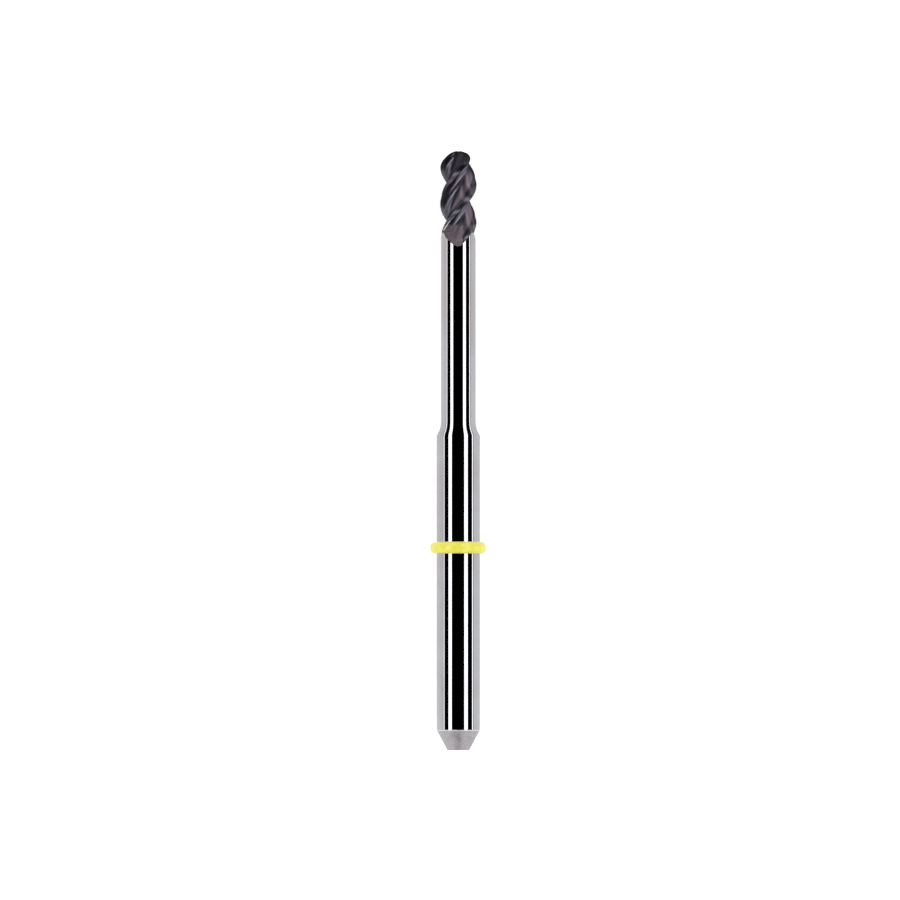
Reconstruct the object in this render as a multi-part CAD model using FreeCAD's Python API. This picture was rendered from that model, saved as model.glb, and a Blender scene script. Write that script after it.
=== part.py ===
import FreeCAD, Part
import math
import os

# Ball-nose milling cutter with a colour ring, in millimetres.
# The cutter is turned and ground from one carbide rod, so shank, neck and fluted head are one solid.
# An elastic ring of round section sits in a groove of the shank, and is the only other piece.
# Both are drawn upright, with the butt face on z = 0 and the tip at the top.
# They are then laid down as a cutter comes to rest on a table: on its side, on the ring and the head.
# The part's origin is on the table, under the middle of the laid cutter, with the tip towards +Y.

# Shank
SHANK_DIAMETER = 3.0
SHANK_LENGTH = 21.6
BUTT_FACE_DIAMETER = 1.5
BUTT_CHAMFER_LENGTH = 1.4
SHOULDER_STEP = 0.19
SHOULDER_LENGTH = 0.37

# Neck
NECK_DIAMETER = 2.4
NECK_BLEND_RADIUS = 2.0

# Head, with a full ball end
OVERALL_LENGTH = 41.2
CUTTING_DIAMETER = 2.5
CUTTING_LENGTH = 5.56
HEAD_STEP_LENGTH = 0.1

# Flutes
# An angle is measured about the axis from the cutting edge, and a ratio is a share of the head's radius.
# One edge is at EDGE_ANGLE from the X axis at the height of the tip.
FLUTE_COUNT = 3
HELIX_ANGLE = 45.0
EDGE_ANGLE = 109.8
LAND_ANGLE = 22.0
MARGIN_ANGLE = 3.0
HEEL_RATIO = 0.93
RAKE_FOOT_ANGLE = -3.0
RAKE_FOOT_RATIO = 0.8
VALLEY_NEAR_ANGLE = -8.4
VALLEY_NEAR_RATIO = 0.564
VALLEY_FAR_ANGLE = 16.4
VALLEY_FAR_RATIO = 0.356
RELIEF_ANGLE = 45.0
RELIEF_RATIO = 0.48
RELIEF_POLE_ANGLE = 62.4
RELIEF_POLE_RATIO = 0.734

# Run-out of the flutes on the neck
RUN_OUT_LENGTH = 1.05
RUN_OUT_LIFT = 0.97
RUN_OUT_POWER = 1.3

# Gashes, the V grooves that open the flutes to the centre of the ball end
# The bottom of each falls outwards from the axis, a little behind the angle of the edge at the tip.
GASH_DEPTH = 0.25
GASH_FALL_ANGLE = 40.0
GASH_OPENING_ANGLE = 60.0
GASH_BEHIND_ANGLE = 10.0
GASH_OVERLAP = 0.04

# Spacing of the sections that the surface of a flute passes through
SECTION_TWIST = 11.75
SECTION_LATITUDE = 9.0
LAST_LATITUDE = 81.0
TIP_CLEARANCE = 0.1

# Ring, with its place measured from the butt face to its middle
RING_SECTION_DIAMETER = 0.82
RING_STAND_OUT = 0.45
RING_POSITION = 13.9

# Angle from the X axis of the seam of the turned surfaces and of the ring
SEAM_ANGLE = 20.0

# Derived sizes
SHANK_R = SHANK_DIAMETER / 2
NECK_R = NECK_DIAMETER / 2
HEAD_R = CUTTING_DIAMETER / 2
RING_SECTION_R = RING_SECTION_DIAMETER / 2
RING_CENTRE_R = SHANK_R + RING_STAND_OUT - RING_SECTION_R
BALL_Z = OVERALL_LENGTH - HEAD_R
HEAD_Z = OVERALL_LENGTH - CUTTING_LENGTH
RUN_OUT_Z = HEAD_Z - RUN_OUT_LENGTH
LEAD = math.pi * CUTTING_DIAMETER / math.tan(math.radians(HELIX_ANGLE))
PITCH_ANGLE = 360.0 / FLUTE_COUNT
HEEL_ANGLE = PITCH_ANGLE - LAND_ANGLE
NEAR_R = HEAD_R * 1.3
FAR_R = HEAD_R * 2.1

ORIGIN = FreeCAD.Vector(0, 0, 0)
AXIS = FreeCAD.Vector(0, 0, 1)
SIDEWAYS = FreeCAD.Vector(1, 0, 0)


def around(radius, angle, height):
    """A point at an angle about the axis, in degrees."""
    turn = math.radians(angle)
    return FreeCAD.Vector(radius * math.cos(turn), radius * math.sin(turn), height)


def on_outline(radius, height):
    """A point of the turned outline, in the plane that is revolved."""
    return around(radius, SEAM_ANGLE, height)


def line(start, end):
    return Part.LineSegment(start, end).toShape()


def arc(start, middle, end):
    return Part.Arc(start, middle, end).toShape()


def curve(*poles):
    bezier = Part.BezierCurve()
    bezier.setPoles(list(poles))
    return bezier.toShape()


def turned_blank():
    """The rod before its flutes are ground: chamfered butt, grooved shank, blended neck and ball end."""
    groove_half = math.sqrt(RING_SECTION_R ** 2 - (RING_CENTRE_R - SHANK_R) ** 2)
    shoulder_r = SHANK_R - SHOULDER_STEP
    shoulder_z = SHANK_LENGTH + SHOULDER_LENGTH
    blend_turn = math.acos((NECK_R + NECK_BLEND_RADIUS - shoulder_r) / NECK_BLEND_RADIUS)
    blend_z = shoulder_z + NECK_BLEND_RADIUS * math.sin(blend_turn)
    blend_middle = on_outline(NECK_R + NECK_BLEND_RADIUS * (1 - math.cos(blend_turn / 2)),
                              blend_z - NECK_BLEND_RADIUS * math.sin(blend_turn / 2))
    ball_middle = on_outline(HEAD_R * math.cos(math.pi / 4), BALL_Z + HEAD_R * math.sin(math.pi / 4))

    butt_centre = on_outline(0, 0)
    butt_edge = on_outline(BUTT_FACE_DIAMETER / 2, 0)
    shank_low = on_outline(SHANK_R, BUTT_CHAMFER_LENGTH)
    groove_low = on_outline(SHANK_R, RING_POSITION - groove_half)
    groove_floor = on_outline(RING_CENTRE_R - RING_SECTION_R, RING_POSITION)
    groove_high = on_outline(SHANK_R, RING_POSITION + groove_half)
    shank_high = on_outline(SHANK_R, SHANK_LENGTH)
    shoulder = on_outline(shoulder_r, shoulder_z)
    neck_low = on_outline(NECK_R, blend_z)
    neck_high = on_outline(NECK_R, HEAD_Z - HEAD_STEP_LENGTH)
    head_low = on_outline(HEAD_R, HEAD_Z)
    ball_low = on_outline(HEAD_R, BALL_Z)
    tip = on_outline(0, OVERALL_LENGTH)
    outline = Part.Wire([
        line(butt_centre, butt_edge),
        line(butt_edge, shank_low),
        line(shank_low, groove_low),
        arc(groove_low, groove_floor, groove_high),
        line(groove_high, shank_high),
        line(shank_high, shoulder),
        arc(shoulder, blend_middle, neck_low),
        line(neck_low, neck_high),
        line(neck_high, head_low),
        line(head_low, ball_low),
        arc(ball_low, ball_middle, tip),
        line(tip, butt_centre),
    ])
    return Part.Face(outline).revolve(ORIGIN, AXIS, 360)


def flute_section(height, ball_scale, lift):
    """The outline, at one height, of the space between one cutting edge and the heel of the next tooth.

    ball_scale is the ball end's radius there as a share of the head's.
    lift, from 0 to 1, moves the flute's bottom outwards and towards the heel, where it runs out.
    """
    edge_angle = EDGE_ANGLE + 360 * (height - OVERALL_LENGTH) / LEAD
    radius = HEAD_R * ball_scale

    def bottom(ratio, angle):
        lifted_ratio = ratio + (1 - ratio) * lift
        lifted_angle = angle + (HEEL_ANGLE - angle) * lift
        return around(radius * lifted_ratio, edge_angle + lifted_angle, height)

    rake_foot = bottom(RAKE_FOOT_RATIO, RAKE_FOOT_ANGLE)
    valley_near = bottom(VALLEY_NEAR_RATIO, VALLEY_NEAR_ANGLE)
    valley_far = bottom(VALLEY_FAR_RATIO, VALLEY_FAR_ANGLE)
    relief_foot = bottom(RELIEF_RATIO, RELIEF_ANGLE)
    relief_pole = bottom(RELIEF_POLE_RATIO, RELIEF_POLE_ANGLE)
    heel = around(radius * HEEL_RATIO, edge_angle + HEEL_ANGLE, height)
    margin = around(radius, edge_angle + PITCH_ANGLE - MARGIN_ANGLE, height)
    beyond_margin = heel + (margin - heel).normalize() * NEAR_R
    rake_out_angle = HEEL_ANGLE * lift
    beyond_heel = around(FAR_R, edge_angle + HEEL_ANGLE, height)
    beyond_bottom = around(FAR_R, edge_angle + (rake_out_angle + HEEL_ANGLE) / 2, height)
    beyond_edge = around(NEAR_R, edge_angle + rake_out_angle, height)
    return Part.Wire([
        line(beyond_edge, rake_foot),
        curve(rake_foot, valley_near, valley_far, relief_foot),
        curve(relief_foot, relief_pole, heel),
        line(heel, beyond_margin),
        line(beyond_margin, beyond_heel),
        line(beyond_heel, beyond_bottom),
        line(beyond_bottom, beyond_edge),
    ])


def flute():
    """What the grinding wheel takes away for one flute, from its run-out on the neck to past the tip."""
    sections = []
    section_count = math.ceil((BALL_Z - RUN_OUT_Z) / LEAD * 360 / SECTION_TWIST)
    for index in range(section_count):
        height = RUN_OUT_Z + (BALL_Z - RUN_OUT_Z) * index / section_count
        lift = RUN_OUT_LIFT * max(0, (HEAD_Z - height) / RUN_OUT_LENGTH) ** RUN_OUT_POWER
        sections.append(flute_section(height, 1, lift))
    for index in range(math.floor(LAST_LATITUDE / SECTION_LATITUDE) + 1):
        latitude = math.radians(index * SECTION_LATITUDE)
        sections.append(flute_section(BALL_Z + HEAD_R * math.sin(latitude), math.cos(latitude), 0))
    last_scale = math.cos(math.radians(LAST_LATITUDE)) / 2
    sections.append(flute_section(OVERALL_LENGTH + TIP_CLEARANCE, last_scale, 0))
    return Part.makeLoft(sections, True)


def gash():
    """What the thin wheel takes away at the centre of the ball end, in front of one cutting edge."""
    fall = math.radians(GASH_FALL_ANGLE)
    opening = math.radians(GASH_OPENING_ANGLE)
    outwards = around(1, EDGE_ANGLE - GASH_BEHIND_ANGLE, 0)
    along = outwards * math.cos(fall) - AXIS * math.sin(fall)
    open_wall = AXIS * math.cos(opening) + AXIS.cross(outwards) * math.sin(opening)
    start = AXIS * (OVERALL_LENGTH - GASH_DEPTH) - along * GASH_OVERLAP
    wedge = Part.Wire([
        line(start, start + AXIS * HEAD_R),
        line(start + AXIS * HEAD_R, start + open_wall * HEAD_R),
        line(start + open_wall * HEAD_R, start),
    ])
    return Part.Face(wedge).extrude(along * HEAD_R)


def cutter_body():
    """The one-piece cutter: the turned blank less its flutes and gashes."""
    ground_away = []
    for tool in (flute(), gash()):
        ground_away += [tool.rotated(ORIGIN, AXIS, index * PITCH_ANGLE) for index in range(FLUTE_COUNT)]
    return turned_blank().cut(ground_away).Solids[0]


def colour_ring():
    """The elastic ring, as it fills its groove."""
    centre = FreeCAD.Vector(0, 0, RING_POSITION)
    return Part.makeTorus(RING_CENTRE_R, RING_SECTION_R, centre, AXIS).rotated(ORIGIN, AXIS, SEAM_ANGLE)


def lay_down(shapes):
    """Turn the upright shapes onto their side, tip towards +Y, and set them on z = 0.

    The tilt puts the ring's and the ball end's lowest points at one height.
    """
    span = BALL_Z - RING_POSITION
    tilt = math.atan2(RING_CENTRE_R, span) + math.asin((RING_SECTION_R - HEAD_R) / math.hypot(span, RING_CENTRE_R))
    laid = [shape.rotated(ORIGIN, SIDEWAYS, -90 - math.degrees(tilt)) for shape in shapes]
    box = Part.makeCompound(laid).optimalBoundingBox()
    middle = FreeCAD.Vector(box.Center.x, box.Center.y, box.ZMin)
    return [shape.translated(middle * -1) for shape in laid]


os.makedirs("parts", exist_ok=True)
body, ring = lay_down([cutter_body(), colour_ring()])
body.exportStep("parts/cutter_body.step")
ring.exportStep("parts/colour_ring.step")
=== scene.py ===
"""A ball-nose milling cutter with a yellow colour ring, lying on a pale floor and seen from above."""
import cmath
import logging
import math
from dataclasses import dataclass
from enum import Enum
from functools import cached_property
from typing import Any, Union

import bmesh
import bpy
from mathutils import Matrix, Vector


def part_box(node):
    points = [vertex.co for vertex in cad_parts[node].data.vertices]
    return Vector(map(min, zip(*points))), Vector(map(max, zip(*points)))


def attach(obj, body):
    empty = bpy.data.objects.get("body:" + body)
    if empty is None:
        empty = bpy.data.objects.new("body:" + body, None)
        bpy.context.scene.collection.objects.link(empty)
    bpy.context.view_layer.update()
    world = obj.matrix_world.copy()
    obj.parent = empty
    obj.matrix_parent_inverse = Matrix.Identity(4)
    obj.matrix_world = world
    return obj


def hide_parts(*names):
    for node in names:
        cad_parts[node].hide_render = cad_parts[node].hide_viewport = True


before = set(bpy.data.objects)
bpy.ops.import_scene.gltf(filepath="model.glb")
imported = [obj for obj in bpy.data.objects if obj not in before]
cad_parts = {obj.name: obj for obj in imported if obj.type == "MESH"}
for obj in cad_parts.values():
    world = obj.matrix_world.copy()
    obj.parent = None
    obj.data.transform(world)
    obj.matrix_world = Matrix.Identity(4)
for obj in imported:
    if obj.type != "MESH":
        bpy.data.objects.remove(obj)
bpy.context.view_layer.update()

MM = 0.001

log = logging.getLogger("cutter")

Colour = tuple[float, float, float, float]
Input = Union[float, tuple, str, bpy.types.NodeSocket, "Signal"]


def linear(red: int, green: int, blue: int) -> Colour:
    """Turn a display colour into the linear colour that a shader takes.

    Args:
        red: Red from 0 to 255.
        green: Green from 0 to 255.
        blue: Blue from 0 to 255.

    Returns:
        The linear red, green and blue, and an alpha of 1.
    """
    def channel(value: int) -> float:
        """Undo the display curve of one channel."""
        share = value / 255
        return share / 12.92 if share <= 0.04045 else ((share + 0.055) / 1.055) ** 2.4

    return channel(red), channel(green), channel(blue), 1.0


class Signal:
    """A number that varies over a surface, written with Python's operators."""

    def __init__(self, graph: "Graph", socket: bpy.types.NodeSocket) -> None:
        """Wrap a socket.

        Args:
            graph: The graph that the socket belongs to.
            socket: The output socket that carries the number.
        """
        self.graph = graph
        self.socket = socket

    def _math(self, operation: str, *values: Input) -> "Signal":
        """Add one Math node.

        Args:
            operation: The node's operation.
            values: What feeds its sockets, in order.

        Returns:
            The node's result.
        """
        return self.graph.number("ShaderNodeMath", {"operation": operation}, dict(enumerate(values)))

    def __add__(self, other: Input) -> "Signal":
        """Add."""
        return self._math("ADD", self, other)

    def __radd__(self, other: Input) -> "Signal":
        """Add, with the number first."""
        return self._math("ADD", other, self)

    def __sub__(self, other: Input) -> "Signal":
        """Subtract."""
        return self._math("SUBTRACT", self, other)

    def __rsub__(self, other: Input) -> "Signal":
        """Subtract from a number."""
        return self._math("SUBTRACT", other, self)

    def __mul__(self, other: Input) -> "Signal":
        """Multiply."""
        return self._math("MULTIPLY", self, other)

    def __rmul__(self, other: Input) -> "Signal":
        """Multiply, with the number first."""
        return self._math("MULTIPLY", other, self)

    def wrapped(self, period: float) -> "Signal":
        """Bring the number between 0 and a period."""
        return self._math("WRAP", self, period, 0.0)

    def angle_from(self, other: "Signal") -> "Signal":
        """Read this number as a height over the other, and give the angle in radians."""
        return self._math("ARCTAN2", self, other)

    def hypotenuse(self, other: "Signal") -> "Signal":
        """Give the length of the two numbers taken as the sides of a right angle."""
        return self._math("SQRT", self * self + other * other)

    def rise(self, start: float, end: float) -> "Signal":
        """Turn the number into a smooth step.

        Args:
            start: Where the step is 0.
            end: Where the step is 1. It may be below the start, for a falling step.

        Returns:
            The step, from 0 to 1.
        """
        low, high = min(start, end), max(start, end)
        outputs = (0.0, 1.0) if end > start else (1.0, 0.0)
        return self.graph.number(
            "ShaderNodeMapRange",
            {"interpolation_type": "SMOOTHSTEP"},
            {"Value": self, "From Min": low, "From Max": high, "To Min": outputs[0], "To Max": outputs[1]},
        )

    def band(self, start: float, end: float, soft: float) -> "Signal":
        """Give 1 between two values and 0 outside, with soft ends.

        Args:
            start: The lower value.
            end: The upper value.
            soft: The width over which each end fades.

        Returns:
            The band, from 0 to 1.
        """
        half = soft / 2
        return self.rise(start - half, start + half) * self.rise(end + half, end - half)


class Graph:
    """The nodes of one material or of the world, with one method that adds any of them."""

    def __init__(self, owner: Union[bpy.types.Material, bpy.types.World]) -> None:
        """Empty the owner's nodes.

        Args:
            owner: The new material or world.
        """
        self.owner = owner
        self.owner.use_nodes = True
        self.tree = self.owner.node_tree
        self.tree.nodes.clear()

    def add(self, kind: str, settings: dict[str, Any], inputs: dict[Any, Input]) -> bpy.types.Node:
        """Add a node.

        Args:
            kind: The node's type.
            settings: The node's properties, which are set before its sockets.
            inputs: A value or a link for each socket, by its name or its place.

        Returns:
            The node.
        """
        node = self.tree.nodes.new(kind)
        for key, value in settings.items():
            setattr(node, key, value)
        for key, value in inputs.items():
            socket = value.socket if isinstance(value, Signal) else value
            if isinstance(socket, bpy.types.NodeSocket):
                self.tree.links.new(socket, node.inputs[key])
            else:
                node.inputs[key].default_value = socket
        return node

    def number(
        self, kind: str, settings: dict[str, Any], inputs: dict[Any, Input], output: Union[int, str] = 0
    ) -> Signal:
        """Add a node and wrap one of its outputs.

        Args:
            kind: The node's type.
            settings: The node's properties.
            inputs: A value or a link for each socket.
            output: The output's place or name.

        Returns:
            The node's output.
        """
        return Signal(self, self.add(kind, settings, inputs).outputs[output])

    def blend(self, factor: Input, first: Input, second: Input) -> bpy.types.NodeSocket:
        """Mix two colours.

        Args:
            factor: The share of the second colour.
            first: The first colour.
            second: The second colour.

        Returns:
            The mixed colour's socket.
        """
        inputs = {0: factor, 6: first, 7: second}
        return self.add("ShaderNodeMix", {"data_type": "RGBA"}, inputs).outputs[2]

    def noise(self, place: bpy.types.NodeSocket, scale: float, detail: float = 2.0) -> Signal:
        """Add a noise texture.

        Args:
            place: The socket of the coordinates.
            scale: Waves for each metre.
            detail: Levels of finer noise.

        Returns:
            The noise, from 0 to 1.
        """
        return self.number("ShaderNodeTexNoise", {}, {"Vector": place, "Scale": scale, "Detail": detail})

    def position(self) -> bpy.types.NodeSocket:
        """Give the place on the object, in metres."""
        return self.add("ShaderNodeTexCoord", {}, {}).outputs["Object"]

    def seen_directly(self) -> Signal:
        """Give 1 to the camera's rays and to sharp reflections, and 0 to the rest."""
        path = self.add("ShaderNodeLightPath", {}, {})
        return Signal(self, path.outputs["Is Camera Ray"]) + Signal(self, path.outputs["Is Glossy Ray"])

    def finish(self, shader: bpy.types.NodeSocket) -> Union[bpy.types.Material, bpy.types.World]:
        """Connect a shader to the output.

        Args:
            shader: The shader's socket.

        Returns:
            The finished material or world.
        """
        is_world = isinstance(self.owner, bpy.types.World)
        kind = "ShaderNodeOutputWorld" if is_world else "ShaderNodeOutputMaterial"
        self.add(kind, {}, {"Surface": shader})
        return self.owner


def new_graph(name: str) -> Graph:
    """Start a material."""
    return Graph(bpy.data.materials.new(name))


@dataclass(frozen=True)
class CutterAxis:
    """The laid cutter's own axis, from the middle of the butt face towards the tip."""

    length: float = 41.2 * MM
    head_radius: float = 1.25 * MM
    ring_radius: float = 1.95 * MM
    ring_section: float = 0.41 * MM
    ring_position: float = 13.9 * MM

    @cached_property
    def tilt(self) -> float:
        """The angle by which the tip is lower, in radians."""
        span = self.length - self.head_radius - self.ring_position
        centre = self.ring_radius - self.ring_section
        drop = self.ring_section - self.head_radius
        return math.atan2(centre, span) + math.asin(drop / math.hypot(span, centre))

    @cached_property
    def butt(self) -> Vector:
        """The middle of the butt face."""
        low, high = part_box("colour_ring")
        return (low + high) / 2 - self.along * self.ring_position

    @cached_property
    def along(self) -> Vector:
        """The direction from the butt to the tip."""
        return Vector((0, math.cos(self.tilt), -math.sin(self.tilt)))

    @cached_property
    def upwards(self) -> Vector:
        """The direction square to the axis that points most upwards."""
        return Vector((0, math.sin(self.tilt), math.cos(self.tilt)))

    def point(self, across: complex, height: float) -> Vector:
        """Place a point of a section that is drawn square to the axis.

        Args:
            across: The point in the section, with angles that run from the cutter's right.
            height: The section's distance from the butt face.

        Returns:
            The point in the scene.
        """
        return self.butt + self.along * height + Vector((across.real, 0, 0)) - self.upwards * across.imag


AXIS = CutterAxis()


@dataclass(frozen=True)
class Flutes:
    """The helical flutes of the head, ground from one cutting edge to the heel of the next tooth.

    Angles are in degrees from the cutting edge, and ratios are shares of the head's radius.
    """

    count: int = 3
    lead: float = 7.854 * MM
    edge_angle: float = 109.8
    rake_out: float = 1.3
    rake_foot: tuple[float, float] = (0.8, -3.0)
    valley_near: tuple[float, float] = (0.564, -8.4)
    valley_far: tuple[float, float] = (0.356, 16.4)
    crease: tuple[float, float] = (0.48, 45.0)
    relief_pole: tuple[float, float] = (0.734, 62.4)
    heel: tuple[float, float] = (0.93, 98.0)
    margin: tuple[float, float] = (1.0, 117.0)
    rake_steps: int = 8
    valley_steps: int = 12
    relief_steps: int = 12
    land_steps: int = 4
    halvings: int = 40
    tolerance: float = 1e-9

    @property
    def pitch(self) -> float:
        """The angle from one tooth to the next."""
        return 360.0 / self.count

    def turn(self, height: float) -> float:
        """Give the angle of the first cutting edge at a distance from the butt face."""
        return self.edge_angle + 360.0 * (height - AXIS.length) / self.lead

    def outline(self, lift: float) -> list[complex]:
        """Draw one flute from outside the cutting edge to outside the next tooth's margin.

        Args:
            lift: How far the flute is moved out towards the heel, from 0 to 1.

        Returns:
            The points in shares of the head's radius, with the cutting edge at angle 0.
        """
        def polar(ratio: float, angle: float) -> complex:
            """Turn a ratio and an angle into a point."""
            return cmath.rect(ratio, math.radians(angle))

        def lifted(place: tuple[float, float]) -> complex:
            """Move one point of the flute's bottom by the lift."""
            ratio, angle = place
            return polar(ratio + (1 - ratio) * lift, angle + (self.heel[1] - angle) * lift)

        def bezier(poles: list[complex], steps: int) -> list[complex]:
            """Follow a Bezier curve, leaving out its end."""
            order = len(poles) - 1

            def weight(index: int, share: float) -> float:
                """Give the weight of one pole at a share of the curve's way."""
                return math.comb(order, index) * share ** index * (1 - share) ** (order - index)

            return [
                sum(weight(index, step / steps) * pole for index, pole in enumerate(poles))
                for step in range(steps)
            ]

        heel, margin = polar(*self.heel), polar(*self.margin)
        beyond = heel + (margin - heel) / abs(margin - heel) * self.rake_out
        points = bezier([polar(self.rake_out, self.heel[1] * lift), lifted(self.rake_foot)], self.rake_steps)
        valley = [lifted(place) for place in (self.rake_foot, self.valley_near, self.valley_far, self.crease)]
        points += bezier(valley, self.valley_steps)
        points += bezier([lifted(self.crease), lifted(self.relief_pole), heel], self.relief_steps)
        points += bezier([heel, margin], self.land_steps)
        return points + [margin, beyond]

    def trimmed(self, lift: float, limit: float) -> list[complex]:
        """Keep what of the outline lies inside the blank, and draw the rest in to where it crosses.

        Args:
            lift: How far the flute is moved out.
            limit: The blank's radius, as a share of the head's.

        Returns:
            As many points as the outline has.
        """
        points = self.outline(lift)
        inside = [index for index, point in enumerate(points) if abs(point) < limit - self.tolerance]
        if not inside:
            nearest = min(points, key=abs)
            return [nearest / abs(nearest) * limit] * len(points)

        def crossing(outer: complex, inner: complex) -> complex:
            """Find where a line between two points meets the blank."""
            for _ in range(self.halvings):
                middle = (outer + inner) / 2
                outer, inner = (middle, inner) if abs(middle) > limit else (outer, middle)
            return outer / abs(outer) * limit

        first, last = inside[0], inside[-1]
        entry = crossing(points[first - 1], points[first])
        leave = crossing(points[last + 1], points[last])
        return [entry] * first + points[first:last + 1] + [leave] * (len(points) - last - 1)


@dataclass
class CutterBody:
    """The one-piece cutter: butt, shank with the ring's groove, neck, and fluted head with its ball end."""

    flutes: Flutes = Flutes()
    shank_radius: float = 1.5 * MM
    shank_length: float = 21.6 * MM
    butt_radius: float = 0.75 * MM
    butt_chamfer: float = 1.4 * MM
    shoulder_step: float = 0.19 * MM
    shoulder_length: float = 0.37 * MM
    neck_radius: float = 1.2 * MM
    neck_blend: float = 2.0 * MM
    head_radius: float = AXIS.head_radius
    head_length: float = 5.56 * MM
    head_step: float = 0.1 * MM
    run_out_length: float = 1.05 * MM
    run_out_lift: float = 0.97
    run_out_power: float = 1.3
    gash_depth: float = 0.25 * MM
    gash_fall: float = 40.0
    gash_opening: float = 60.0
    gash_behind: float = 10.0
    gash_overlap: float = 0.04 * MM
    arc_steps: int = 12
    turned_split: int = 4
    twist_step: float = 4.0
    latitude_step: float = 4.0
    profile_steps: int = 8
    run_out_clear: float = 0.9
    sharp_angle: float = 14.0
    join_distance: float = 0.001 * MM
    same_place: float = 1e-8
    same_radius: float = 1e-7

    @property
    def head_start(self) -> float:
        """The height at which the head has its full diameter."""
        return AXIS.length - self.head_length

    @property
    def ball_start(self) -> float:
        """The height of the ball end's centre."""
        return AXIS.length - self.head_radius

    @property
    def run_out_start(self) -> float:
        """The height at which the flutes end on the neck."""
        return self.head_start - self.run_out_length

    def blank_radius(self, height: float) -> float:
        """Give the radius of the head or the neck before the flutes are ground."""
        if height > self.ball_start:
            return math.sqrt(max(0.0, self.head_radius ** 2 - (height - self.ball_start) ** 2))
        share = min(1.0, max(0.0, 1 - (self.head_start - height) / self.head_step))
        return self.neck_radius + (self.head_radius - self.neck_radius) * share

    def head_heights(self) -> list[float]:
        """Give the heights of the head's sections, from below the run-out to next to the tip."""
        step = self.flutes.lead * self.twist_step / 360

        def spaced(start: float, end: float) -> list[float]:
            """Space heights evenly, leaving out the end."""
            count = math.ceil((end - start) / step)
            return [start + (end - start) * index / count for index in range(count)]

        neck_end = self.head_start - self.head_step
        heights = [self.run_out_start - step] + spaced(self.run_out_start, neck_end)
        heights += spaced(neck_end, self.head_start) + spaced(self.head_start, self.ball_start)
        count = round(90 / self.latitude_step)
        for index in range(count):
            heights.append(self.ball_start + self.head_radius * math.sin(math.radians(90 * index / count)))
        return heights

    def section(self, height: float) -> list[complex]:
        """Draw the whole section of the head or the fluted neck at a height.

        Args:
            height: The distance from the butt face.

        Returns:
            The points once around, which repeat where the flute is outside the blank.
        """
        radius = self.blank_radius(height)
        scale = min(self.head_radius, radius) if height > self.ball_start else self.head_radius
        share = max(0.0, (self.head_start - height) / self.run_out_length)
        lift = self.run_out_lift * share ** self.run_out_power
        flute = self.flutes.trimmed(min(lift, 1.0), radius / scale)
        start = math.degrees(cmath.phase(flute[-1])) - self.flutes.pitch
        end = math.degrees(cmath.phase(flute[0]))
        start -= 360 * round((start - end + self.flutes.pitch / 2) / 360)
        points = []
        for tooth in range(self.flutes.count):
            base = self.flutes.turn(height) + tooth * self.flutes.pitch
            for step in range(1, self.arc_steps):
                angle = start + (end - start) * step / self.arc_steps
                points.append(cmath.rect(radius, math.radians(base + angle)))
            points += [point * cmath.rect(scale, math.radians(base)) for point in flute]
        return points

    def turned_profile(self) -> list[tuple[float, float]]:
        """Give the radius and height of each corner of the turned outline, from the butt to the neck."""
        ring = AXIS.ring_section
        centre = AXIS.ring_radius - ring
        half = math.acos((centre - self.shank_radius) / ring)
        groove = []
        for index in range(2 * self.profile_steps + 1):
            turn = half * (1 - index / self.profile_steps)
            groove.append((centre - ring * math.cos(turn), AXIS.ring_position - ring * math.sin(turn)))
        shoulder_radius = self.shank_radius - self.shoulder_step
        shoulder = self.shank_length + self.shoulder_length
        blend = math.acos((self.neck_radius + self.neck_blend - shoulder_radius) / self.neck_blend)
        blend_end = shoulder + self.neck_blend * math.sin(blend)
        fillet = []
        for index in range(self.profile_steps + 1):
            turn = blend * (1 - index / self.profile_steps)
            radius = self.neck_radius + self.neck_blend * (1 - math.cos(turn))
            fillet.append((radius, blend_end - self.neck_blend * math.sin(turn)))
        return [
            (self.butt_radius, 0.0),
            (self.shank_radius, self.butt_chamfer),
            *groove,
            (self.shank_radius, self.shank_length),
            *fillet,
        ]

    def gash_wedge(self, tooth: int) -> bpy.types.Mesh:
        """Make the wedge that the thin wheel takes away at the ball end's centre, in front of one edge.

        Args:
            tooth: Which edge.

        Returns:
            The wedge.
        """
        fall, opening = math.radians(self.gash_fall), math.radians(self.gash_opening)
        angle = self.flutes.edge_angle - self.gash_behind + tooth * self.flutes.pitch
        outwards = cmath.rect(1, math.radians(angle))
        wall = outwards * 1j * self.head_radius * math.sin(opening)
        corners = []
        for reach in (-self.gash_overlap, self.head_radius - self.gash_overlap):
            across = outwards * reach * math.cos(fall)
            height = AXIS.length - self.gash_depth - reach * math.sin(fall)
            corners += [
                AXIS.point(across, height),
                AXIS.point(across, height + self.head_radius),
                AXIS.point(across + wall, height + self.head_radius * math.cos(opening)),
            ]
        mesh = bpy.data.meshes.new("gash")
        mesh.from_pydata(corners, [], [(0, 1, 2), (5, 4, 3), (0, 3, 4, 1), (1, 4, 5, 2), (2, 5, 3, 0)])
        return mesh

    def skin(self) -> bpy.types.Mesh:
        """Make the cutter's mesh before its gashes."""
        made = bmesh.new()

        def ring_of(points: list[Vector]) -> list[bmesh.types.BMVert]:
            """Add one ring of corners."""
            return [made.verts.new(point) for point in points]

        def join(lower: list[bmesh.types.BMVert], upper: list[bmesh.types.BMVert]) -> None:
            """Join two rings that have as many corners."""
            for index in range(len(lower)):
                after = (index + 1) % len(lower)
                made.faces.new((lower[index], lower[after], upper[after], upper[index]))

        heights = self.head_heights()
        sections = []
        for height in heights:
            sections.append(ring_of([AXIS.point(point, height) for point in self.section(height)]))
        for lower, upper in zip(sections, sections[1:]):
            join(lower, upper)
        tip = made.verts.new(AXIS.point(0j, AXIS.length))
        for index, corner in enumerate(sections[-1]):
            made.faces.new((corner, sections[-1][(index + 1) % len(sections[-1])], tip))

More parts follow.
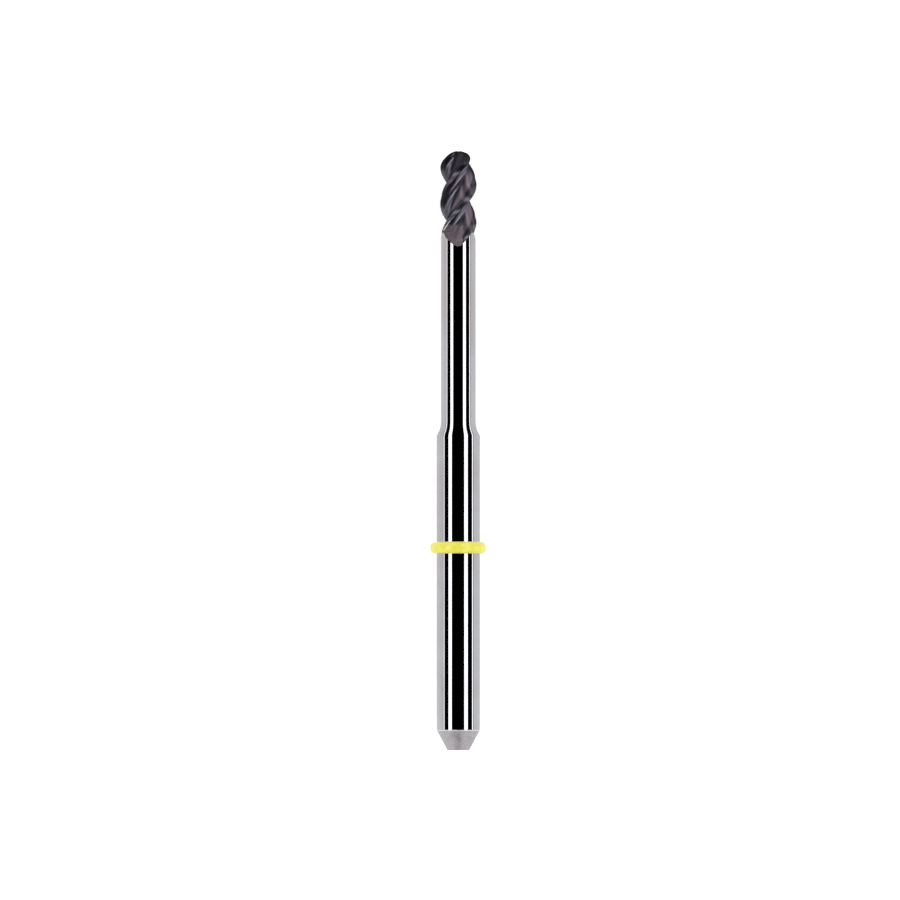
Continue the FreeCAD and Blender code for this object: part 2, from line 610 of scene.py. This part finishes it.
        sides = self.flutes.count * self.arc_steps
        turned = sides * self.turned_split
        run_out_end = self.flutes.trimmed(1.0, self.run_out_clear)[0]
        first = self.flutes.turn(heights[0]) + math.degrees(cmath.phase(run_out_end))
        rings = []
        for radius, height in self.turned_profile() + [(self.neck_radius, heights[0] - self.head_step)]:
            angles = [math.radians(first + 360 * index / turned) for index in range(turned)]
            rings.append(ring_of([AXIS.point(cmath.rect(radius, angle), height) for angle in angles]))
        for lower, upper in zip(rings, rings[1:]):
            join(lower, upper)
        made.faces.new(reversed(rings[0]))

        bmesh.ops.remove_doubles(made, verts=sum(sections, []), dist=self.same_place)
        loose = [edge for edge in made.edges if edge.is_boundary]
        bmesh.ops.bridge_loops(made, edges=loose)
        bmesh.ops.recalc_face_normals(made, faces=made.faces)
        mesh = bpy.data.meshes.new("milling_cutter")
        made.to_mesh(mesh)
        made.free()
        return mesh

    def combined(self, first: bpy.types.Mesh, second: bpy.types.Mesh, operation: str) -> bpy.types.Mesh:
        """Unite two meshes or cut one with the other.

        It is done in millimetres, because at a metre's scale the cut loses slivers.

        Args:
            first: The mesh that is kept.
            second: The mesh that is added or taken away.
            operation: UNION or DIFFERENCE.

        Returns:
            The result, with corners closer than a micron joined.
        """
        things = [bpy.data.objects.new(mesh.name, mesh) for mesh in (first, second)]
        for thing in things:
            bpy.context.scene.collection.objects.link(thing)
            thing.data.transform(Matrix.Scale(1 / MM, 4))
        step = things[0].modifiers.new("step", "BOOLEAN")
        step.operation = operation
        step.solver = "EXACT"
        step.object = things[1]
        bpy.context.view_layer.update()
        evaluated = things[0].evaluated_get(bpy.context.evaluated_depsgraph_get())
        result = bpy.data.meshes.new_from_object(evaluated)
        made = bmesh.new()
        made.from_mesh(result)
        bmesh.ops.remove_doubles(made, verts=made.verts, dist=self.join_distance / MM)
        bmesh.ops.dissolve_degenerate(made, edges=made.edges, dist=self.join_distance / MM)
        made.to_mesh(result)
        made.free()
        result.transform(Matrix.Scale(MM, 4))
        for thing in things:
            bpy.data.objects.remove(thing)
        return result

    def mark_surfaces(self, mesh: bpy.types.Mesh) -> None:
        """Turn the normals of shank, shoulder and neck straight away from the axis, and mark the coating.

        Args:
            mesh: The finished mesh.
        """
        places = [corner.co - AXIS.butt for corner in mesh.vertices]
        heights = [place.dot(AXIS.along) for place in places]
        away = [place - AXIS.along * height for place, height in zip(places, heights)]
        normals = [(0.0, 0.0, 0.0)] * len(mesh.loops)
        coated = []
        for face in mesh.polygons:
            corners = list(face.vertices)
            misses = [abs(away[corner].length - self.neck_radius) for corner in corners]
            middle = sum(heights[corner] for corner in corners) / len(corners)
            turned = middle < self.run_out_start or max(misses) < self.same_radius
            coated.append(0.0 if turned else 1.0)
            if turned and middle > self.butt_chamfer:
                for loop in face.loop_indices:
                    normals[loop] = away[mesh.loops[loop].vertex_index].normalized()
        mesh.normals_split_custom_set(normals)
        mesh.attributes.new("coating", "FLOAT", "FACE").data.foreach_set("value", coated)

    def build(self, material: bpy.types.Material) -> bpy.types.Object:
        """Make the cutter, grind its gashes and finish it.

        Args:
            material: The cutter's finish.

        Returns:
            The cutter.
        """
        gashes = self.gash_wedge(0)
        for tooth in range(1, self.flutes.count):
            gashes = self.combined(gashes, self.gash_wedge(tooth), "UNION")
        mesh = self.combined(self.skin(), gashes, "DIFFERENCE")
        cutter = bpy.data.objects.new("milling_cutter", mesh)
        bpy.context.scene.collection.objects.link(cutter)
        mesh.materials.clear()
        mesh.materials.append(material)
        mesh.shade_smooth()
        mesh.set_sharp_from_angle(angle=math.radians(self.sharp_angle))
        self.mark_surfaces(mesh)
        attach(cutter, "root")
        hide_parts("cutter_body")
        log.info("built %s with %d faces", cutter.name, len(mesh.polygons))
        return cutter


@dataclass(frozen=True)
class Spot:
    """Where a point of the cutter's surface lies, with the noise there."""

    height: Signal
    radius: Signal
    around: Signal
    angle: Signal
    grain: Signal
    cloud: Signal


@dataclass(frozen=True)
class CarbideFinish:
    """Polished carbide, ground matte on the butt, with a dark hard coating on the fluted head. A highlight is
    painted on the butt's rim and on the margins at the run-out, and shade is painted on the ball end and
    along the heels.

    Heights run from the butt face. A band of angles gives its start and end in degrees from the
    cutting edge, and the width of its soft ends. The run-out's band is counted from run_out_line,
    an angle around the axis that doesn't follow the helix.
    """

    butt_end: float = 1.4 * MM
    butt_blur: float = 0.01 * MM
    rim: float = 0.07 * MM
    rim_blur: float = 0.02 * MM
    bump_depth: float = 0.01 * MM
    mirror_roughness: float = 0.03
    ground_roughness: float = 0.55
    coat_roughness: float = 0.27
    coat_metal: float = 0.9
    fine_detail: float = 3.0
    grain_scale: float = 9000.0
    cloud_scale: float = 1600.0
    patch_scale: float = 260.0
    polished_warm: Colour = (0.315, 0.3, 0.315, 1)
    polished_cool: Colour = (0.335, 0.34, 0.36, 1)
    polished_stain: Colour = (0.3, 0.285, 0.295, 1)
    ground_dark: Colour = (0.36, 0.34, 0.36, 1)
    ground_light: Colour = (0.45, 0.43, 0.45, 1)
    ground_stain: Colour = (0.27, 0.25, 0.265, 1)
    # The rim's near-white colour is a painted highlight along the upper end of the butt's chamfer.
    rim_painted_highlight: Colour = (0.8, 0.8, 0.8, 1)

    valley_band: tuple[float, float, float] = (6.0, 30.0, 6.0)
    rough_band: tuple[float, float, float] = (30.0, 85.0, 8.0)
    relief_band: tuple[float, float, float] = (56.0, 82.0, 9.0)
    # Angles of the painted shade along each heel.
    heel_shade_band: tuple[float, float, float] = (85.0, 99.0, 4.0)
    land_band: tuple[float, float, float] = (98.0, 117.5, 1.5)
    # Where the painted glint on the margins lies, near the run-out.
    margin_glint_band: tuple[float, float, float] = (116.5, 120.0, 0.6)
    margin_glint_heights: tuple[float, float, float] = (35.7 * MM, 36.3 * MM, 0.05 * MM)
    margin_glint_radii: tuple[float, float] = (1.19 * MM, 1.21 * MM)
    # Where the ball end's painted shade lies, over the relief and land of each tooth.
    tip_shade_band: tuple[float, float, float] = (48.0, 117.0, 4.0)
    tip_shade_heights: tuple[float, float] = (39.3 * MM, 40.0 * MM)
    run_out_line: float = 88.0
    run_out_band: tuple[float, float, float] = (2.0, 77.0, 2.0)
    run_out_heights: tuple[float, float] = (36.2 * MM, 35.9 * MM)
    coat_dark: Colour = (0.105, 0.1, 0.13, 1)
    coat_light: Colour = (0.135, 0.128, 0.165, 1)
    valley_pale: Colour = (0.17, 0.165, 0.19, 1)
    relief_rose: Colour = (0.17, 0.13, 0.155, 1)
    mark_dark: Colour = (0.06, 0.058, 0.07, 1)
    land_dark: Colour = (0.06, 0.06, 0.062, 1)
    # The heels' dark colour is painted shade along the heel line of each tooth.
    heel_painted_shade: Colour = (0.035, 0.026, 0.032, 1)
    # The ball end's dark colour is painted shade, and its lighter colour gives painted patches of light on
    # it.
    tip_painted_shade: Colour = (0.02, 0.019, 0.025, 1)
    tip_painted_light: Colour = (0.075, 0.073, 0.085, 1)
    run_out_dark: Colour = (0.13, 0.107, 0.12, 1)
    run_out_light: Colour = (0.215, 0.178, 0.197, 1)
    # A painted highlight: a near-white glint on the margins where the flutes run out.
    margin_painted_glint: Colour = (0.9, 0.9, 0.92, 1)
    edge_tint: Colour = (0.0, 0.0, 0.0, 1)
    lane_scales: tuple[float, float, float] = (0.4, 9000.0, 400.0)

    def material(self) -> bpy.types.Material:
        """Build the material."""
        graph = new_graph("carbide")
        place = graph.position()

        def part(direction: Vector) -> Signal:
            """Measure the place along a direction from the middle of the butt face."""
            settings, inputs = {"operation": "DOT_PRODUCT"}, {0: place, 1: tuple(direction)}
            return graph.number("ShaderNodeVectorMath", settings, inputs, "Value") - AXIS.butt.dot(direction)

        flutes = Flutes()
        height = part(AXIS.along)
        across, depth = part(Vector((1, 0, 0))), part(-AXIS.upwards)
        around = depth.angle_from(across) * math.degrees(1)
        helix = (height - AXIS.length) * (360 / flutes.lead)
        spot = Spot(
            height=height,
            radius=across.hypotenuse(depth),
            around=around.wrapped(flutes.pitch),
            angle=(around - helix - flutes.edge_angle).wrapped(flutes.pitch),
            grain=graph.noise(place, self.grain_scale, self.fine_detail),
            cloud=graph.noise(place, self.cloud_scale),
        )
        coating = graph.number("ShaderNodeAttribute", {"attribute_name": "coating"}, {}, "Fac")
        shaders = {0: coating, 1: self.bare(graph, spot), 2: self.coated(graph, spot)}
        return graph.finish(graph.add("ShaderNodeMixShader", {}, shaders).outputs[0])

    def bare(self, graph: Graph, spot: Spot) -> bpy.types.NodeSocket:
        """Build the uncoated carbide: mirror-ground shank and neck, and a matte butt with a painted highlight
        on its rim.

        Args:
            graph: The material's graph.
            spot: The point of the surface.

        Returns:
            The shader's socket.
        """
        butt = spot.height.rise(self.butt_end + self.butt_blur, self.butt_end - self.butt_blur)
        # Painted highlight: a bright band painted along the upper end of the chamfer.
        rim = spot.height.band(self.butt_end - self.rim, self.butt_end, self.rim_blur)
        patches = graph.noise(graph.position(), self.patch_scale, self.fine_detail)
        polished = graph.blend(patches.rise(0.4, 0.6), self.polished_warm, self.polished_cool)
        polished = graph.blend(spot.cloud.rise(0.5, 0.75) * 0.5, polished, self.polished_stain)
        ground = graph.blend(spot.grain.rise(0.35, 0.65), self.ground_dark, self.ground_light)
        ground = graph.blend(spot.cloud.rise(0.5, 0.7) * 0.5, ground, self.ground_stain)
        ground = graph.blend(rim * 0.6, ground, self.rim_painted_highlight)
        bump = graph.add("ShaderNodeBump", {}, {
            "Strength": 0.1,
            "Distance": self.bump_depth,
            "Height": spot.grain * butt,
        })
        shader = graph.add("ShaderNodeBsdfPrincipled", {}, {
            "Base Color": graph.blend(butt, polished, ground),
            "Metallic": 1.0,
            "Roughness": self.mirror_roughness + butt * self.ground_roughness,
            "Normal": bump.outputs[0],
        })
        return shader.outputs[0]

    def coated(self, graph: Graph, spot: Spot) -> bpy.types.NodeSocket:
        """Build the dark hard coating, over the marks that the wheel leaves along each flute, with painted
        shade and painted light patches on the ball end, painted shade along the heels and a painted glint on
        the margins at the run-out.

        Args:
            graph: The material's graph.
            spot: The point of the surface.

        Returns:
            The shader's socket.
        """
        place = (spot.angle, spot.radius, spot.height)
        lanes = [signal * scale for signal, scale in zip(place, self.lane_scales)]
        stretched = graph.add("ShaderNodeCombineXYZ", {}, dict(enumerate(lanes)))
        marks = graph.noise(stretched.outputs[0], 1.0, self.fine_detail)
        # Painted shade over the ball end, on the relief and land of each tooth.
        tip = spot.height.rise(*self.tip_shade_heights) * spot.angle.band(*self.tip_shade_band)
        beside = (spot.around - self.run_out_line).wrapped(Flutes().pitch)
        run_out = spot.height.rise(*self.run_out_heights) * beside.band(*self.run_out_band)
        # Painted highlight: a bright glint painted along the margins near the run-out.
        margin = spot.height.band(*self.margin_glint_heights) * spot.radius.rise(*self.margin_glint_radii)
        margin = margin * spot.angle.band(*self.margin_glint_band)
        # Painted patches of light, inside the ball end's painted shade.
        tip_shade_colour = graph.blend(spot.cloud.rise(0.55, 0.68), self.tip_painted_shade, self.tip_painted_light)
        run_out_colour = graph.blend(spot.grain.rise(0.35, 0.65), self.run_out_dark, self.run_out_light)
        colour = graph.blend(spot.cloud.rise(0.35, 0.65), self.coat_dark, self.coat_light)
        for share, tint in (
            (spot.angle.band(*self.valley_band) * 0.6, self.valley_pale),
            (spot.angle.band(*self.relief_band), self.relief_rose),
            (marks.rise(0.42, 0.62) * 0.35, self.mark_dark),
            (spot.angle.band(*self.land_band) * 0.6, self.land_dark),
            # Painted shade along each heel.
            (spot.angle.band(*self.heel_shade_band) * 0.75, self.heel_painted_shade),
            (tip * 0.85, tip_shade_colour),
            (run_out * 0.9, run_out_colour),
            (margin, self.margin_painted_glint),
        ):
            colour = graph.blend(share, colour, tint)
        bump = graph.add("ShaderNodeBump", {}, {
            "Strength": 0.12,
            "Distance": self.bump_depth,
            "Height": marks * 0.7 + spot.grain * 0.5,
        })
        rough = spot.angle.band(*self.rough_band)
        shader = graph.add("ShaderNodeBsdfPrincipled", {}, {
            "Base Color": colour,
            "Metallic": self.coat_metal - run_out * 0.6,
            "Roughness": self.coat_roughness + marks * 0.08 + rough * 0.1 + run_out * 0.25,
            "Specular Tint": self.edge_tint,
            "Normal": bump.outputs[0],
        })
        return shader.outputs[0]


@dataclass(frozen=True)
class RingFinish:
    """Satin yellow elastomer."""

    dark: Colour = linear(236, 228, 70)
    light: Colour = linear(242, 234, 98)
    cloud_scale: float = 2500.0
    cloud_detail: float = 3.0
    bump_depth: float = 0.01 * MM
    roughness: float = 0.24

    def material(self) -> bpy.types.Material:
        """Build the material."""
        graph = new_graph("yellow elastomer")
        cloud = graph.noise(graph.position(), self.cloud_scale, self.cloud_detail)
        bump = graph.add("ShaderNodeBump", {}, {
            "Strength": 0.06,
            "Distance": self.bump_depth,
            "Height": cloud,
        })
        shader = graph.add("ShaderNodeBsdfPrincipled", {}, {
            "Base Color": graph.blend(cloud.rise(0.3, 0.7), self.dark, self.light),
            "Roughness": self.roughness + cloud * 0.12,
            "Normal": bump.outputs[0],
            "Specular IOR Level": 0.6,
        })
        return graph.finish(shader.outputs[0])


class Cards(Enum):
    """The black cards over the cutter, as the angles from straight up between which each is seen."""

    BLACK_LEFT = (-77.0, -53.4)
    BLACK_MIDDLE = (-35.2, 31.5)
    BLACK_RIGHT = (50.5, 78.0)


class Strips(Enum):
    """The strip lamps, as the angles from straight up between which each is seen."""

    LEFT = (-53.4, -35.2)
    RIGHT = (31.5, 50.5)
    EDGE = (78.0, 83.0)
    FAR_EDGE = (-84.0, -80.0)


def rectangle(name: str, width: float, length: float) -> bpy.types.Mesh:
    """Make a flat rectangle around the origin.

    Args:
        name: The mesh's name.
        width: The size in x.
        length: The size in y.

    Returns:
        The mesh.
    """
    x, y = width / 2, length / 2
    mesh = bpy.data.meshes.new(name)
    mesh.from_pydata([(-x, -y, 0), (x, -y, 0), (x, y, 0), (-x, y, 0)], [], [(0, 1, 2, 3)])
    return mesh


@dataclass
class Studio:
    """The floor, the strip lamps, the black cards and the camera."""

    reach: float = 0.3
    length: float = 3.0
    radiance: float = 3.1
    floor_size: float = 6.0
    fill: float = 0.3
    floor_glow: float = 0.5
    floor_cloud: float = 6.0
    floor_dark: Colour = (0.9, 0.9, 0.9, 1)
    floor_light: Colour = (0.92, 0.92, 0.92, 1)
    camera_height: float = 0.6
    clip_end: float = 10.0
    photo_width: float = 900.0
    photo_scale: float = 14.55
    axis_column: float = 458.35
    tip_row: float = 150.7

    def hung(self, name: str, angles: tuple[float, float], data: bpy.types.ID) -> bpy.types.Object:
        """Hang a flat thing over the cutter, facing it.

        Args:
            name: The object's name.
            angles: The angles from straight up between which it is seen.
            data: The lamp or the mesh.

        Returns:
            The object.
        """
        middle = math.radians(sum(angles) / 2)
        thing = bpy.data.objects.new(name, data)
        bpy.context.scene.collection.objects.link(thing)
        thing.location = AXIS.butt + AXIS.along * AXIS.length / 2
        thing.location += Vector((math.sin(middle), 0, math.cos(middle))) * self.reach
        thing.rotation_euler = (0, middle, 0)
        thing.visible_camera = False
        return thing

    def width(self, angles: tuple[float, float]) -> float:
        """Give the width of a flat thing that is seen between two angles."""
        return 2 * self.reach * math.tan(math.radians((angles[1] - angles[0]) / 2))

    def lamp(self, strip: Strips) -> None:
        """Hang one strip lamp.

        Args:
            strip: Which one.
        """
        light = bpy.data.lights.new(strip.name.lower() + " strip", "AREA")
        light.shape = "RECTANGLE"
        light.size = self.width(strip.value)
        light.size_y = self.length
        light.energy = self.radiance * math.pi * light.size * light.size_y
        self.hung(light.name, strip.value, light)

    def card(self, card: Cards) -> None:
        """Hang one black card, which only reflections show.

        Args:
            card: Which one.
        """
        name = card.name.lower().replace("_", " ")
        mesh = rectangle(name, self.width(card.value), self.length)
        graph = new_graph(name)
        black = graph.add("ShaderNodeEmission", {}, {"Color": (0, 0, 0, 1)})
        mesh.materials.append(graph.finish(black.outputs[0]))
        thing = self.hung(name, card.value, mesh)
        thing.visible_diffuse = False
        thing.visible_shadow = False

    def floor(self) -> None:
        """Lay the pale floor, which keeps the cutter's shadow."""
        mesh = rectangle("floor", self.floor_size, self.floor_size)
        graph = new_graph("pale floor")
        cloud = graph.noise(graph.position(), self.floor_cloud)
        shader = graph.add("ShaderNodeBsdfPrincipled", {}, {
            "Base Color": graph.blend(cloud, self.floor_dark, self.floor_light),
            "Roughness": 0.9,
            "Specular IOR Level": 0.0,
        })
        glow = graph.add("ShaderNodeEmission", {}, {"Strength": graph.seen_directly() * self.floor_glow})
        both = graph.add("ShaderNodeAddShader", {}, {0: shader.outputs[0], 1: glow.outputs[0]})
        mesh.materials.append(graph.finish(both.outputs[0]))
        thing = bpy.data.objects.new("floor", mesh)
        bpy.context.scene.collection.objects.link(thing)

    def world(self) -> None:
        """Make a world that is white to the eye and in reflections, and softer as a light."""
        graph = Graph(bpy.data.worlds.new("studio"))
        strength = self.fill + graph.seen_directly() * (1 - self.fill)
        background = graph.add("ShaderNodeBackground", {}, {"Strength": strength})
        bpy.context.scene.world = graph.finish(background.outputs[0])

    def camera(self) -> None:
        """Set the camera over the cutter, at the photograph's framing."""
        width = self.photo_width / self.photo_scale * MM
        data = bpy.data.cameras.new("camera")
        data.lens = data.sensor_width * self.camera_height / width
        data.clip_end = self.clip_end
        camera = bpy.data.objects.new("camera", data)
        bpy.context.scene.collection.objects.link(camera)
        tip = AXIS.butt + AXIS.along * AXIS.length
        centre = self.photo_width / 2
        camera.location = (
            (centre - self.axis_column) / self.photo_scale * MM,
            tip.y - (centre - self.tip_row) / self.photo_scale * MM,
            (AXIS.butt.z + tip.z) / 2 + self.camera_height,
        )
        bpy.context.scene.camera = camera

    def build(self) -> None:
        """Set up the whole studio."""
        bpy.context.scene.view_settings.view_transform = "Standard"
        self.world()
        self.floor()
        for strip in Strips:
            self.lamp(strip)
        for card in Cards:
            self.card(card)
        self.camera()


def dress(node: str, material: bpy.types.Material) -> None:
    """Give a material to every slot of a CAD node.

    Args:
        node: The node's name.
        material: The material.
    """
    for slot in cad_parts[node].material_slots:
        slot.material = material
    log.info("dressed %s", node)


def main() -> None:
    """Build the scene in order."""
    CutterBody().build(CarbideFinish().material())
    dress("colour_ring", RingFinish().material())
    Studio().build()


if __name__ == "__main__":
    logging.basicConfig(level=logging.INFO)
    main()
